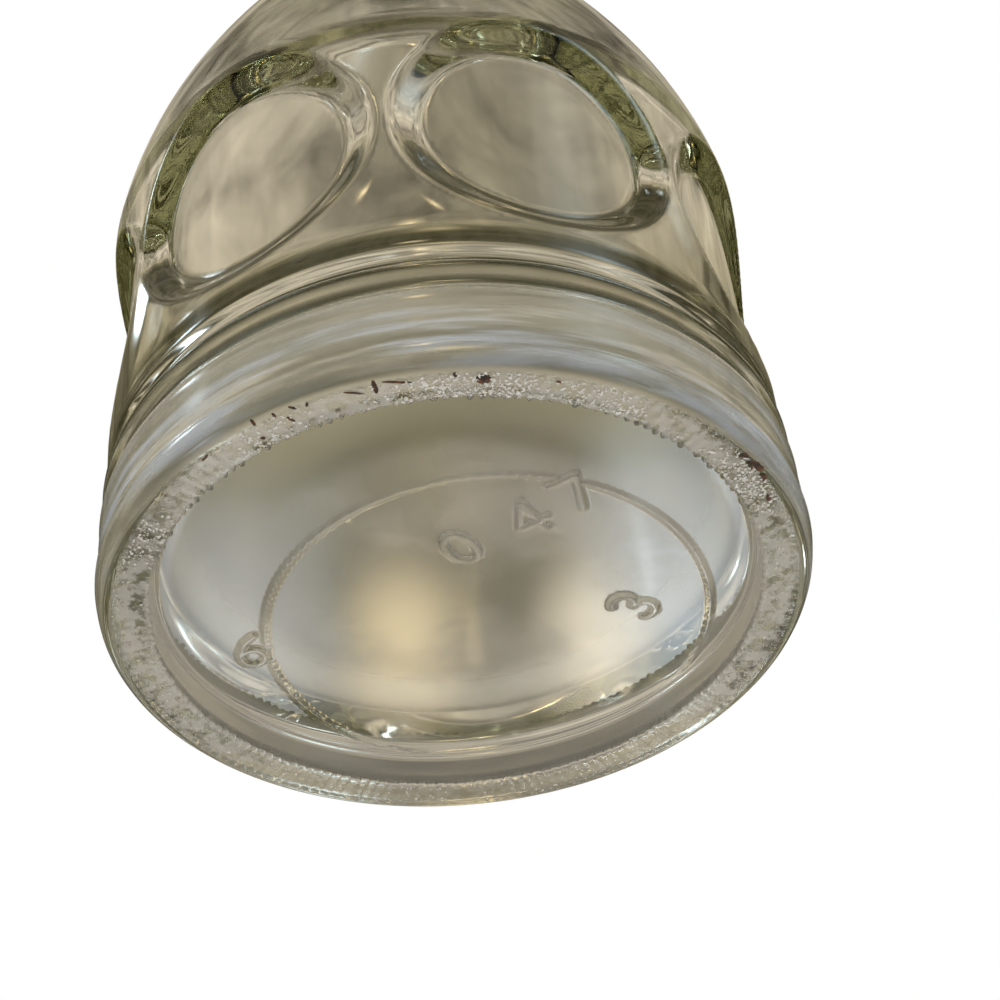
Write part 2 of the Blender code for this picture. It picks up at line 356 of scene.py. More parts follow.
def addWear(tree, look, place, shader, roughness, height):
    # gives the worn roughness and height, the share of dull bloom and its colour
    zones = wearZones
    x, y, z = splitNode(tree, place)
    radius = lengthNode(tree, x, y)

    # the bearing ring, ground dull by use
    patches, ground = patchNodes(tree, place, "patches")
    backLow, backHigh = zones["ringBack"]
    ring = times(
        tree,
        bandNode(tree, radius, *zones["ringRadius"]),
        fallNode(tree, z, *zones["ringHeight"]),
        ground,
        rangeNode(tree, y, backLow * mm, backHigh * mm, 1.0, look["backWear"], True),
    )

    # under the foot, and the film on the cavity's floor
    under = fallNode(tree, z, *zones["footHeight"])
    clouds = patchNodes(tree, place, "clouds")[1]
    film = times(
        tree,
        riseNode(tree, z, *zones["filmBase"], False),
        fallNode(tree, z, *zones["filmTop"]),
        fallNode(tree, radius, *zones["filmRadius"]),
    )
    roughness = plus(
        tree,
        roughness,
        times(tree, under, clouds, look["haze"]),
        times(tree, ring, look["ringScuff"]),
        times(tree, film, look["cavityHaze"]),
    )
    height = plus(tree, height, times(tree, patches, ring, look["ringPitting"]))

    # streaks run round the heel; in front of the foot the glass has less bloom and a painted olive shade
    size = look["streakHoop"] * mm
    hoop = joinNode(tree, *[times(tree, mathNode(tree, "DIVIDE", n, radius), size) for n in (x, y)], z)
    streaks, shades = (patchNodes(tree, hoop, name)[1] for name in ("streaks", "shades"))
    heel = times(
        tree,
        riseNode(tree, radius, *zones["heelRadius"]),
        fallNode(tree, z, *zones["heelHeight"]),
    )
    frontLow, frontHigh = zones["heelFront"]
    most, least = look["heelBloom"], look["heelBloom"] * look["backFilm"]
    heelShare = rangeNode(tree, y, frontLow * mm, frontHigh * mm, most, least, True)
    front = times(
        tree,
        bandNode(tree, radius, *zones["frontRadius"]),
        fallNode(tree, y, *zones["frontReach"]),
        under,
    )
    footShare = rangeNode(tree, front, 0.0, 1.0, look["footBloom"], look["footBloom"] * look["frontFilm"])
    # painted shade: the glass in front of the foot is tinted a darker olive
    feed(shader.inputs["Base Color"], mixColours(tree, front, look["tint"], look["frontShadeTint"]))
    cove = times(
        tree,
        bandNode(tree, radius, *zones["coveRadius"]),
        riseNode(tree, y, *zones["coveReach"]),
        under,
    )

    # bloom is what lies dull and white on the glass
    bloom = plus(
        tree,
        times(tree, ring, look["ringBloom"]),
        times(tree, streaks, heel, heelShare),
        times(tree, under, fallNode(tree, radius, *zones["footRadius"]), clouds, footShare),
        times(tree, cove, look["coveBloom"]),
    )
    spot = measureNode(tree, "DISTANCE", place, look["stain"])
    edge = plus(tree, spot, times(tree, patches, look["stainEdge"] * mm))
    core, reach = look["stainCore"] * mm, look["stainReach"] * mm
    mark = rangeNode(tree, edge, core, reach, look["stainShare"], 0.0, True)
    # painted sheen: the heel's bloom of wear takes warm and cool highlight tints along its streaks
    streakSheen = mixColours(tree, shades, look["heelWarmSheen"], look["heelCoolSheen"])
    dustAndSheen = mixColours(tree, heel, look["bloomColour"], streakSheen)
    return roughness, height, bloom, mixColours(tree, mark, dustAndSheen, look["stainColour"])


def makeGlass(name, look, worn):
    material, tree, shader, output = newMaterial(name)
    place = placeNode(tree)
    fill(shader, {"Base Color": look["tint"], "Transmission Weight": 1.0, "IOR": look["ior"]})
    film = noiseNode(tree, place, *glassFilm["film"])
    dull = look["polish"] * glassFilm["filmDulling"]
    roughness = rangeNode(tree, film, *glassFilm["filmRange"], look["polish"], dull)
    height = times(tree, noiseNode(tree, place, *glassFilm["pits"]), look["pitting"])
    if worn:
        roughness, height, bloom, colour = addWear(tree, look, place, shader, roughness, height)
        mixShaders(tree, bloom, shader, addNode(tree, "ShaderNodeBsdfDiffuse", colour), output)
    fill(shader, {"Roughness": roughness, "Normal": bumpNode(tree, height, *glassFilm["bump"])})
    volume = addNode(tree, "ShaderNodeVolumeAbsorption", look["depthColour"], look["depthDensity"])
    feed(output.inputs["Volume"], volume.outputs[0])
    return material


# the decanter's body, in millimetres
decanterBody = {
    "heelRadius": 46.0,
    "heelRound": (2.2, 2.8),
    "ringWidth": 4.2,
    "ringEdge": 0.5,
    "ringLift": 0.10,
    "pushUp": 5.1,
    "pushUpDraft": 0.5,
    "pushUpCorner": 1.0,
    "pushUpCrown": 0.9,
    "beadHeights": (11.5, 16.6, 20.4),
    "coveDepth": 1.4,
    "beadProud": 0.1,
    "wall": ((45.4, 20.4), (46.13, 65.0)),
    "thickness": 4.3,
    "seamHeight": 3.0,
    "shoulderTop": 150.0,
    "shoulderLean": 4.6,
    "shoulderDroop": 33.0,
    "neckRadius": 16.6,
    "neckFlare": (2.0, 30.0),
    "neckLength": 32.0,
    "bore": 12.2,
    "lip": (20.4, 5.0, 5.0, 1.8),   # radius, flare height, band height, rounding
    "mouthChamfer": 0.9,
    "baseThickness": 9.6,
    "floorCrown": 1.2,
    "floorCorner": (17.0, 12.0),
    "prints": 7,
    "printTurn": 20.4,
    "printCentre": 45.0,
    "printRadius": 19.9,
    "printRim": 4.5,
    "printDepth": 2.3,
    "rimRound": 0.6,       # how much of the rim's slope is rounded, and the rest is straight
    "printWall": 45.84,    # wall radius at the height of the prints
    "wallWave": 0.05,
    "cavityWave": 0.30,
    "heelWave": 0.16,
    "heelHoop": 5.0,       # the heel's noise is read on a circle this small
    "waveStretch": (1.0, 1.0, 0.55),
    # scale, detail and roughness of the waves' noises
    "wallNoise": (62.0, 1.5, 0.4),
    "cavityNoise": (48.0, 2.0, 0.45),
    "heelNoise": (420.0, 2.0, 0.5),
    "stippleCount": 180,
    "stippleDepth": 0.28,
    "stippleTooth": 0.70,
    "stippleRows": 760.0,  # rows of crescents for each metre of radius
    "stippleSlant": 0.8,
    "stippleLeast": 0.35,
    "seed": 7,
}


def footOutline(body):
    ringOuter = body["heelRadius"] - body["heelRound"][0]
    ringInner = ringOuter - body["ringWidth"]
    edge, corner = body["ringEdge"], body["pushUpCorner"]
    floorRadius = ringInner - body["pushUpDraft"] - corner
    floor = []
    for share in np.linspace(0, 1, 25):
        floor.append((floorRadius * share, body["pushUp"] + body["pushUpCrown"] * (1 - share * share)))
    floor += ovalPoints((floorRadius, body["pushUp"] - corner), corner, corner, 90, 0, 5)[1:]
    floor += linePoints(floor[-1], (ringInner, edge + 0.6), 3)[1:]
    ring = ovalPoints((ringInner + edge, edge), edge, edge, 180, 270, 3)
    ring += linePoints(ring[-1], (ringOuter, 0.0), 8)[1:]
    ring += ovalPoints((ringOuter, body["heelRound"][1]), *body["heelRound"], -90, -30, 4)[1:]
    heel = ovalPoints((ringOuter, body["heelRound"][1]), *body["heelRound"], -24, 0, 2)
    return floor, ring, heel


def wallOutline(body):
    low, crest, top = body["beadHeights"]
    heel, foot, seam = body["heelRadius"], body["wall"][0][0], body["seamHeight"]
    crestRadius = (heel + foot) / 2 + body["beadProud"]
    points = [(heel, seam - 0.1), (heel + 0.12, seam + 0.12), (heel, seam + 0.4)]
    points += linePoints(points[-1], (heel, low), 12)[1:]
    for start, end, first, last in ((low, crest, heel, crestRadius), (crest, top, crestRadius, foot)):
        for share in np.linspace(0, 1, 9)[1:]:
            dip = body["coveDepth"] * (1 - math.cos(tau * share)) / 2
            points.append((first + (last - first) * share - dip, start + (end - start) * share))
    points += linePoints(*body["wall"], 60)[1:-1]
    return points


def shoulderGuides(body):
    radius, height = body["wall"][1]
    flare, flareHeight = body["neckFlare"]
    top = body["shoulderTop"]
    return (
        (radius, height),
        (radius - body["shoulderLean"], height + body["shoulderDroop"]),
        (body["neckRadius"] + flare, top - flareHeight),
        (body["neckRadius"], top),
    )


def neckOutline(body):
    radius, flare, band, rounding = body["lip"]
    neck, bore, chamfer = body["neckRadius"], body["bore"], body["mouthChamfer"]
    neckTop = body["shoulderTop"] + body["neckLength"]
    lipLow, flat = neckTop + flare, radius - rounding
    mouth = lipLow + band
    points = linePoints((neck, body["shoulderTop"]), (neck, neckTop), 7)[1:]
    points += ovalPoints((flat, neckTop), neck - flat, flare, 0, 90, 7)[1:]
    points += ovalPoints((flat, lipLow + rounding), rounding, rounding, -90, 0, 6)[1:]
    points += ovalPoints((flat, mouth - rounding), rounding, rounding, 0, 90, 6)
    points += [(bore + chamfer + 0.5, mouth), (bore + chamfer, mouth - 0.05)]
    points += [(bore + 0.3, mouth - chamfer * 0.6), (bore, mouth - chamfer - 0.3)]
    points += linePoints(points[-1], (bore, body["shoulderTop"] + 1), 8)[1:]
    return points


def cavityOutline(body):
    low, lowGuide, highGuide, high = shoulderGuides(body)
    thick, drop = body["thickness"], body["thickness"] / 2
    neckWall = body["neckRadius"] - body["bore"]
    bend = bendPoints(
        (low[0] - thick, low[1] - drop),
        (lowGuide[0] - thick, lowGuide[1] - drop),
        (highGuide[0] - neckWall, highGuide[1] - drop),
        (body["bore"], high[1] - drop),
        34,
    )[::-1]
    floor = body["pushUp"] + body["baseThickness"]
    width, height = body["floorCorner"]
    side = body["wall"][0][0] - thick + 0.1
    points = bend + linePoints(bend[-1], (side, floor + height), 20)[1:-1]
    points += ovalPoints((side - width, floor + height), width, height, 0, -90, 16)
    for share in np.linspace(1, 0, 15)[1:]:
        points.append(((side - width) * share, floor + body["floorCrown"] * (1 - share * share)))
    return points


def arcStroke(x, y, width, height, start, end, count):
    return [(x + width * math.cos(a), y + height * math.sin(a)) for a in np.linspace(start, end, count)]


# plain raised figures under the foot: strokes in a box 1 high, drawn as they read from below
figureStrokes = {
    "0": [arcStroke(0.30, 0.5, 0.28, 0.48, 0, tau, 17)],
    "4": [[(0.46, 0.0), (0.46, 1.0), (0.02, 0.32), (0.66, 0.32)]],
    "7": [[(0.02, 0.98), (0.60, 0.98), (0.20, 0.0)]],
    "3": [arcStroke(0.30, 0.74, -0.26, 0.24, 0.7, 4.6, 10)
          + arcStroke(0.30, 0.26, -0.28, 0.26, 1.7, 5.6, 10)],
    "6": [[(0.52, 0.96), (0.26, 0.78), (0.06, 0.44)] + arcStroke(0.30, 0.27, -0.26, -0.26, -0.6, 5.7, 15)],
}

# what is moulded under the foot: figures at (x, y) with a turn in degrees, and the off-centre mould line
footMarks = {
    "figureHeight": 6.3,
    "figureProud": 0.48,
    "strokeWidth": 0.68,
    "figures": (
        ("0", 0.9, -2.9, 31.0), ("4", 9.6, -7.4, 31.0), ("7", 15.6, -11.6, 31.0),
        ("3", 25.0, 11.6, 62.0), ("6", -29.6, 13.6, 10.0),
    ),
    "lineCentre": (3.75, 9.84),
    "lineRadius": 29.8,
    "lineWidth": 0.34,
    "lineProud": 0.17,
    "lineSnap": 0.16,
    "lineClear": 2.2,      # the line isn't drawn straight nearer than this to a figure
    "strokeEdge": (0.4, 1.15),    # where a stroke's slope starts and ends, in its width
    "lineFlat": 0.05,      # half the flat top of the line, and its spread in its width
    "lineSpread": 1.3,
    "zone": (4.6, 6.4, 38.4),     # lowest, highest and outermost corner that is raised
    "cutHeights": (4.9, 6.3),
    # finer mesh: reach round the figures and the line, plain middle, longest edge left whole, cuts
    "refinements": ((1.9, 1.5, 3.0, 0.5, 3), (1.0, 0.0, 0.0, 0.22, 1)),
}


def figureLines(marks):
    lines = []
    for figure, x, y, turn in marks["figures"]:
        cos, sin = math.cos(math.radians(turn)), math.sin(math.radians(turn))
        for stroke in figureStrokes[figure]:
            line = []
            for u, v in stroke:
                u, v = u * marks["figureHeight"], v * marks["figureHeight"]
                line.append((x + u * cos - v * sin, y - (u * sin + v * cos)))
            lines.append(line)
    return lines


def distanceToLines(points, lines):
    nearest = np.full(len(points), 1e9)
    for line in lines:
        for a, b in zip(line, line[1:]):
            a, b = np.array(a), np.array(b)
            along = b - a
            t = np.clip((points - a) @ along / max(along @ along, 1e-9), 0, 1)
            nearest = np.minimum(nearest, np.linalg.norm(points - a - t[:, None] * along, axis=1))
    return nearest


def lineDistance(points, marks):
    return np.abs(np.linalg.norm(points - np.array(marks["lineCentre"]), axis=1) - marks["lineRadius"])


def refineFoot(mesh, marks):
    # the whole relief is cut first, then the figures once more
    shape = bmesh.new()
    shape.from_mesh(mesh)
    low, high = marks["cutHeights"]
    for figureReach, lineReach, middle, longest, cuts in marks["refinements"]:
        small = [f for f in shape.faces if len(f.verts) < 5]
        faces = [f for f in small if low * mm < f.calc_center_median().z < high * mm]
        centres = np.array([f.calc_center_median()[:2] for f in faces]) / mm
        near = distanceToLines(centres, figureLines(marks)) < figureReach
        near |= lineDistance(centres, marks) < lineReach
        near &= np.linalg.norm(centres, axis=1) > middle
        edges = list({e for f, keep in zip(faces, near) if keep for e in f.edges})
        long = [e for e in edges if e.calc_length() > longest * mm]
        bmesh.ops.subdivide_edges(shape, edges=long, cuts=cuts, use_grid_fill=True)
    bmesh.ops.triangulate(shape, faces=[f for f in shape.faces if len(f.verts) > 4])
    shape.to_mesh(mesh)
    shape.free()


def raiseMarks(mesh, marks):
    positions = meshPositions(mesh)
    flat, height = positions[:, :2] / mm, positions[:, 2]
    low, high, widest = marks["zone"]
    under = (height > low * mm) & (height < high * mm) & (np.linalg.norm(flat, axis=1) < widest)
    spots = np.flatnonzero(under)
    far = distanceToLines(flat[spots], figureLines(marks))
    # corners close to the mould line are drawn onto it, so that it runs unbroken
    away = flat[spots] - np.array(marks["lineCentre"])
    reach = np.linalg.norm(away, axis=1)
    gap = reach - marks["lineRadius"]
    close = (np.abs(gap) < marks["lineSnap"]) & (far > marks["lineClear"])
    flat[spots[close]] -= (away * (gap / reach)[:, None])[close]
    positions[spots, :2] = flat[spots] * mm
    strokeMarks = [marks["strokeWidth"] * share for share in marks["strokeEdge"]]
    lineMarks = (marks["lineFlat"], marks["lineWidth"] * marks["lineSpread"])
    figureLift = marks["figureProud"] * (1 - softStep(*strokeMarks, far))
    lineLift = marks["lineProud"] * (1 - softStep(*lineMarks, lineDistance(flat[spots], marks)))
    positions[spots, 2] -= np.maximum(figureLift, lineLift) * mm
    setPositions(mesh, positions)


def newTree(name, sockets):
    tree = bpy.data.node_groups.new(name, "GeometryNodeTree")
    for socket, kind in (("Geometry", "Geometry"), *sockets):
        tree.interface.new_socket(name=socket, in_out="INPUT", socket_type="NodeSocket" + kind)
    tree.interface.new_socket(name="Geometry", in_out="OUTPUT", socket_type="NodeSocketGeometry")
    return tree, addNode(tree, "NodeGroupInput").outputs


def realNode(tree, geometry):
    return addNode(tree, "GeometryNodeRealizeInstances", geometry).outputs[0]


def endTree(tree, geometry, offset, material):
    moved = fill(addNode(tree, "GeometryNodeSetPosition"), {"Geometry": geometry, "Offset": offset})
    whole = realNode(tree, moved.outputs[0])
    coated = fill(addNode(tree, "GeometryNodeSetMaterial"), {"Geometry": whole, "Material": material})
    addNode(tree, "NodeGroupOutput", coated.outputs[0])


# where the relief lies, in millimetres: what rises and falls has four marks, what does one has two
reliefZones = {
    "outside": (43.4, 43.9),
    "aboveBead": (20.5, 21.5),
    "aboveRing": (3.2, 5.0),
    "cavity": (42.4, 42.7),
    "aboveFloor": (13.0, 14.0),
    "belowNeck": (64.0, 80.0),
    "ringHeight": (0.9, 1.6),
    "ringRadius": (38.8, 39.6, 43.2, 44.2),
    "innerEdge": (39.6, 40.9),
    "heelHeight": (3.4, 4.6, 10.6, 11.6),
    "heelRadius": (44.5, 45.0),
}


def makeBodyRelief(body):
    # Geometry Nodes: thumbprints round the wall, teeth on the bearing ring, waves in the glass
    sizes = {
        "Print Count": body["prints"],
        "Print Turn": math.radians(body["printTurn"]),
        "Print Centre": body["printCentre"] * mm,
        "Print Radius": body["printRadius"] * mm,
        "Rim Width": body["printRim"] * mm,
        "Print Depth": body["printDepth"] * mm,
        "Wall Radius": body["printWall"] * mm,
        "Wall Wave": body["wallWave"] * mm,
        "Cavity Wave": body["cavityWave"] * mm,
        "Heel Wave": body["heelWave"] * mm,
        "Tooth Count": body["stippleCount"],
        "Tooth Depth": body["stippleDepth"] * mm,
        "Tooth Reach": body["stippleTooth"] * mm,
        "Ring Lift": body["ringLift"] * mm,
        "Seed": body["seed"],
    }
    zones = reliefZones
    tree, given = newTree("decanterRelief", [(name, "Float") for name in sizes] + [("Glass", "Material")])
    place = addNode(tree, "GeometryNodeInputPosition").outputs[0]
    x, y, z = splitNode(tree, place)
    radius = lengthNode(tree, x, y)
    turn = mathNode(tree, "ARCTAN2", x, times(tree, y, -1.0))

    # one thumbprint, repeated by wrapping the turn; its rim is part round, part straight
    spacing = mathNode(tree, "DIVIDE", tau, given["Print Count"])
    turned = mathNode(tree, "DIVIDE", minus(tree, turn, given["Print Turn"]), spacing)
    wrapped = times(tree, minus(tree, turned, mathNode(tree, "ROUND", turned)), spacing)
    across = times(tree, wrapped, given["Wall Radius"])
    far = lengthNode(tree, across, minus(tree, z, given["Print Centre"]))
    inner = minus(tree, given["Print Radius"], given["Rim Width"])
    rim = body["rimRound"]
    roundShare = rangeNode(tree, far, inner, given["Print Radius"], rim, 0.0, True)
    straightShare = rangeNode(tree, far, inner, given["Print Radius"], 1 - rim, 0.0)
    outside = riseNode(tree, radius, *zones["outside"], False)
    above = riseNode(tree, z, *zones["aboveBead"], False)
    pressed = times(tree, plus(tree, roundShare, straightShare), times(tree, outside, above))
    inward = times(tree, pressed, given["Print Depth"])

    # slow waves: slight on the moulded outside, stronger in the blown cavity
    stretched = vectorNode(tree, "MULTIPLY", place, body["waveStretch"])
    ripple = minus(tree, noiseNode(tree, stretched, *body["wallNoise"]), 1.0)
    aboveRing = riseNode(tree, z, *zones["aboveRing"], False)
    outerWave = times(tree, ripple, given["Wall Wave"], times(tree, outside, aboveRing))
    slow = minus(tree, noiseNode(tree, stretched, *body["cavityNoise"]), 0.5)
    cavity = times(
        tree,
        fallNode(tree, radius, *zones["cavity"], False),
        riseNode(tree, z, *zones["aboveFloor"], False),
        fallNode(tree, z, *zones["belowNeck"], False),
    )
    innerWave = times(tree, slow, given["Cavity Wave"], cavity)
    normal = addNode(tree, "GeometryNodeInputNormal").outputs[0]
    waved = scaleNode(tree, normal, plus(tree, outerWave, innerWave))

    # teeth: a scalloped inner edge and crescents on the flat of the ring
    number = times(tree, mathNode(tree, "DIVIDE", turn, tau), given["Tooth Count"])
    chance = addNode(tree, "FunctionNodeRandomValue", data_type="FLOAT")
    fill(chance, {"ID": plus(tree, mathNode(tree, "FLOOR", number), 1000.0), "Seed": given["Seed"]})
    uneven = rangeNode(tree, chance.outputs[1], 0.0, 1.0, body["stippleLeast"], 1.0)
    phase = mathNode(tree, "FRACT", number)
    tooth = times(tree, mathNode(tree, "SINE", times(tree, phase, math.pi)), uneven)
    lowRing = fallNode(tree, z, *zones["ringHeight"], False)
    edgeZone = times(tree, fallNode(tree, radius, *zones["innerEdge"]), lowRing)
    toothIn = times(tree, tooth, edgeZone, given["Tooth Reach"])
    rows = plus(tree, times(tree, radius, body["stippleRows"]), times(tree, phase, body["stippleSlant"]))
    waves = mathNode(tree, "ABSOLUTE", mathNode(tree, "SINE", times(tree, rows, math.pi)))
    crescent = times(tree, minus(tree, 1.0, times(tree, waves, tooth)), uneven)
    level = plus(tree, times(tree, crescent, given["Tooth Depth"]), given["Ring Lift"])
    lift = times(tree, level, times(tree, lowRing, bandNode(tree, radius, *zones["ringRadius"])))

    # long streaks run round the heel, as the mould left them
    sine, cosine = mathNode(tree, "SINE", turn), mathNode(tree, "COSINE", turn)
    size = body["heelHoop"] * mm
    hoop = joinNode(tree, times(tree, sine, size), times(tree, cosine, size), z)
    streak = noiseNode(tree, hoop, *body["heelNoise"])
    heelZone = times(
        tree,
        bandNode(tree, z, *zones["heelHeight"]),
        riseNode(tree, radius, *zones["heelRadius"], False),
    )
    inward = plus(tree, inward, times(tree, streak, heelZone, given["Heel Wave"]))

    # everything moves the surface inwards or up, so the size stays
    outward = joinNode(tree, sine, times(tree, cosine, -1.0))
    radial = scaleNode(tree, outward, times(tree, plus(tree, inward, toothIn), -1.0))
    total = vectorNode(tree, "ADD", radial, joinNode(tree, 0.0, 0.0, lift))
    endTree(tree, given["Geometry"], vectorNode(tree, "ADD", total, waved), given["Glass"])
    return tree, sizes


def applyTree(obj, tree, values):
    modifier = obj.modifiers.new(tree.name, "NODES")
    modifier.node_group = tree
    for item in tree.interface.items_tree:
        if item.in_out == "INPUT" and item.name in values:
            value = values[item.name]
            modifier[item.identifier] = float(value) if item.socket_type == "NodeSocketFloat" else value
    shown = bpy.context.evaluated_depsgraph_get()
    plain = bpy.data.meshes.new_from_object(obj.evaluated_get(shown))
    obj.modifiers.remove(modifier)
    obj.data = plain
    plain.name = obj.name
    return obj


def makeDecanterBody(body, glass):
    floor, ring, heel = footOutline(body)
    mesh = latheMesh("decanterBody", (
        (180, floor),
        (900, ring),
        (450, heel + wallOutline(body)),
        (150, bendPoints(*shoulderGuides(body), 40) + neckOutline(body) + cavityOutline(body)),
    ))
    outwardFaces(mesh)
    refineFoot(mesh, footMarks)
    raiseMarks(mesh, footMarks)
    obj = addObject("decanterBody", mesh)
    tree, sizes = makeBodyRelief(body)
    applyTree(obj, tree, {**sizes, "Glass": glass})
    outwardFaces(obj.data)
    return obj


decanterGlass = makeGlass("decanterGlass", bodyGlass, True)
decanter = makeDecanterBody(decanterBody, decanterGlass)
print("decanter body:", len(decanter.data.polygons), "faces")


# lime crust and dirt lodged in the bearing ring: chips on given points, in millimetres
ringCrust = {
    "chips": 1500,
    "ring": (39.9, 43.6),
    "height": 0.07,
    "size": (0.10, 0.34),
    "flatness": 0.30,
    "thinnest": 0.07,
    # where the crust is thick: middle turn and half width in degrees, share of the chips
    "patches": (
        (4, 17, 0.34), (27, 9, 0.12), (60, 11, 0.22),
        (-30, 12, 0.10), (-62, 9, 0.08), (150, 200, 0.14),
    ),
    "seed": 11,
    "detail": 1,
    "grain": (1500.0, 0.10),    # fineness and height of the chips' uneven surface
    "colours": ((0.88, 0.85, 0.79, 1.0), (0.62, 0.57, 0.48, 1.0)),
    "colourScale": 700.0,
    "roughness": 0.7,
}
dirtFlecks = {
    # x, y, length, width and turn in degrees
    "flecks": (
        (-7.2, -42.6, 1.5, 0.42, 82), (5.1, -42.3, 1.25, 1.05, 20), (1.9, -43.3, 0.7, 0.3, 95),
        (-21.4, -38.6, 0.8, 0.3, 75), (-16.7, -40.4, 0.7, 0.26, 30), (-18.9, -39.5, 0.55, 0.26, 60),
        (-17.1, -38.6, 0.85, 0.28, 45), (-15.0, -40.7, 0.5, 0.25, 100), (-27.6, -33.5, 0.9, 0.25, 130),
        (-20.6, -35.9, 0.4, 0.3, 10), (-4.6, -43.0, 2.4, 0.22, 8), (-9.6, -41.9, 1.6, 0.2, 12),
        (36.8, -23.7, 1.5, 0.8, 40), (35.4, -25.5, 0.9, 0.5, 20), (38.0, -21.3, 1.1, 0.6, 70),
        (38.9, -17.4, 0.9, 0.4, 80), (37.6, -22.9, 0.7, 0.5, 110), (13.6, -40.7, 0.5, 0.25, 40),
    ),
    "height": 0.09,
    "fullness": 0.75,
    "thickness": 0.085,
    "seed": 23,
    "detail": 3,
    "grain": (1800.0, 0.14),
    "colours": ((0.022, 0.014, 0.010, 1.0), (0.14, 0.055, 0.020, 1.0)),
    "colourScale": 900.0,
    "roughness": 0.75,
}
# what crust and dirt share: detail and roughness of both noises, ranges, spread of the roughness, bump
dullSurface = {
    "cloud": (4.0, 0.65),
    "colourRange": (0.4, 0.62),
    "dullRange": (0.3, 0.7),
    "dullSpread": (-0.12, 0.1),
    "fineScale": 6,
    "fine": (3.0, 0.6),
    "bump": (0.5, 0.08),
}


def makeChipTree():
    # Geometry Nodes: an uneven pebble on each point, sized and turned by the point's own values
    numbers = [(name, "Float") for name in ("Roughness Size", "Roughness Height", "Seed")]
    tree, given = newTree("lodgedChips", numbers + [("Chip Detail", "Int"), ("Chip Material", "Material")])
    pebble = addNode(tree, "GeometryNodeMeshIcoSphere", 1.0, given["Chip Detail"]).outputs["Mesh"]
    placed = {"Points": given["Geometry"], "Instance": pebble}
    for socket, attribute in (("Scale", "chipSize"), ("Rotation", "chipTurn")):
        kind = "GeometryNodeInputNamedAttribute"
        placed[socket] = addNode(tree, kind, attribute, data_type="FLOAT_VECTOR").outputs[0]
    chips = realNode(tree, fill(addNode(tree, "GeometryNodeInstanceOnPoints"), placed).outputs[0])
    place = addNode(tree, "GeometryNodeInputPosition").outputs[0]
    noise = addNode(tree, "ShaderNodeTexNoise", noise_dimensions="4D")
    fill(noise, {"Vector": place, "W": given["Seed"], "Scale": given["Roughness Size"]})
    # the noise is centred on zero, and weaker upwards so that the chips stay flat
    centred = vectorNode(tree, "MULTIPLY_ADD", noise.outputs["Color"], (2.0, 2.0, 0.3), (-1.0, -1.0, -0.15))
    offset = scaleNode(tree, centred, given["Roughness Height"])
    endTree(tree, chips, offset, given["Chip Material"])
    return tree


def makeDullMaterial(name, look):
    material, tree, shader, _ = newMaterial(name)
    place, scale, dull = placeNode(tree), look["colourScale"], dullSurface
    cloud = noiseNode(tree, place, scale, *dull["cloud"])
    share = rangeNode(tree, cloud, *dull["colourRange"], 0.0, 1.0, True)
    fine = noiseNode(tree, place, scale * dull["fineScale"], *dull["fine"])
    levels = [look["roughness"] + step for step in dull["dullSpread"]]
    fill(shader, {
        "Base Color": mixColours(tree, share, *look["colours"]),
        "Roughness": rangeNode(tree, cloud, *dull["dullRange"], *levels),
        "Normal": bumpNode(tree, fine, *dull["bump"]),
    })
    return material


def chipsOn(name, points, sizes, turns, tree, look, material):
    mesh = bpy.data.meshes.new(name)
    mesh.from_pydata([tuple(n * mm for n in point) for point in points], [], [])
    for attribute, rows in (("chipSize", np.array(sizes) * mm), ("chipTurn", np.array(turns))):
        data = mesh.attributes.new(attribute, "FLOAT_VECTOR", "POINT").data
        data.foreach_set("vector", rows.astype(np.float32).ravel())
    obj = applyTree(addObject(name, mesh), tree, {
        "Roughness Size": look["grain"][0],
        "Roughness Height": look["grain"][1] * mm,
        "Chip Detail": look["detail"],
        "Seed": look["seed"],
        "Chip Material": material,
    })
    positions = meshPositions(obj.data)
    positions[:, 2] = np.clip(positions[:, 2], 0.004 * mm, None)    # the ring still stands flat
    setPositions(obj.data, positions)
    obj.data.shade_smooth()
    return obj


def makeCrust(crust, tree):
    chance = np.random.default_rng(crust["seed"])
    points, sizes, turns = [], [], []
    for middle, half, share in crust["patches"]:
        for _ in range(int(crust["chips"] * share)):
            angle = math.radians(middle + half * chance.uniform(-1, 1) * math.sqrt(chance.uniform(0.1, 1)))
            radius = chance.uniform(*crust["ring"])
            size = chance.uniform(*crust["size"]) * (0.6 + 0.4 * chance.uniform())
            points.append((radius * math.sin(angle), -radius * math.cos(angle), crust["height"]))
            thickness = max(size * crust["flatness"], crust["thinnest"])
            sizes.append((size, size * chance.uniform(0.5, 0.9), thickness))
            turns.append((0.0, 0.0, chance.uniform(0, tau)))
    return chipsOn("ringCrust", points, sizes, turns, tree, crust, makeDullMaterial("limeCrust", crust))


def makeDirt(dirt, tree):
    points, sizes, turns = [], [], []
    for x, y, length, width, turn in dirt["flecks"]:
        points.append((x, y, dirt["height"]))
        sizes.append((length * dirt["fullness"], width * dirt["fullness"], dirt["thickness"]))
        turns.append((0.0, 0.0, math.radians(turn)))
    return chipsOn("ringDirt", points, sizes, turns, tree, dirt, makeDullMaterial("darkDirt", dirt))


chipTree = makeChipTree()
crust = makeCrust(ringCrust, chipTree)
dirt = makeDirt(dirtFlecks, chipTree)
print("crust and dirt:", len(crust.data.polygons) + len(dirt.data.polygons), "faces")


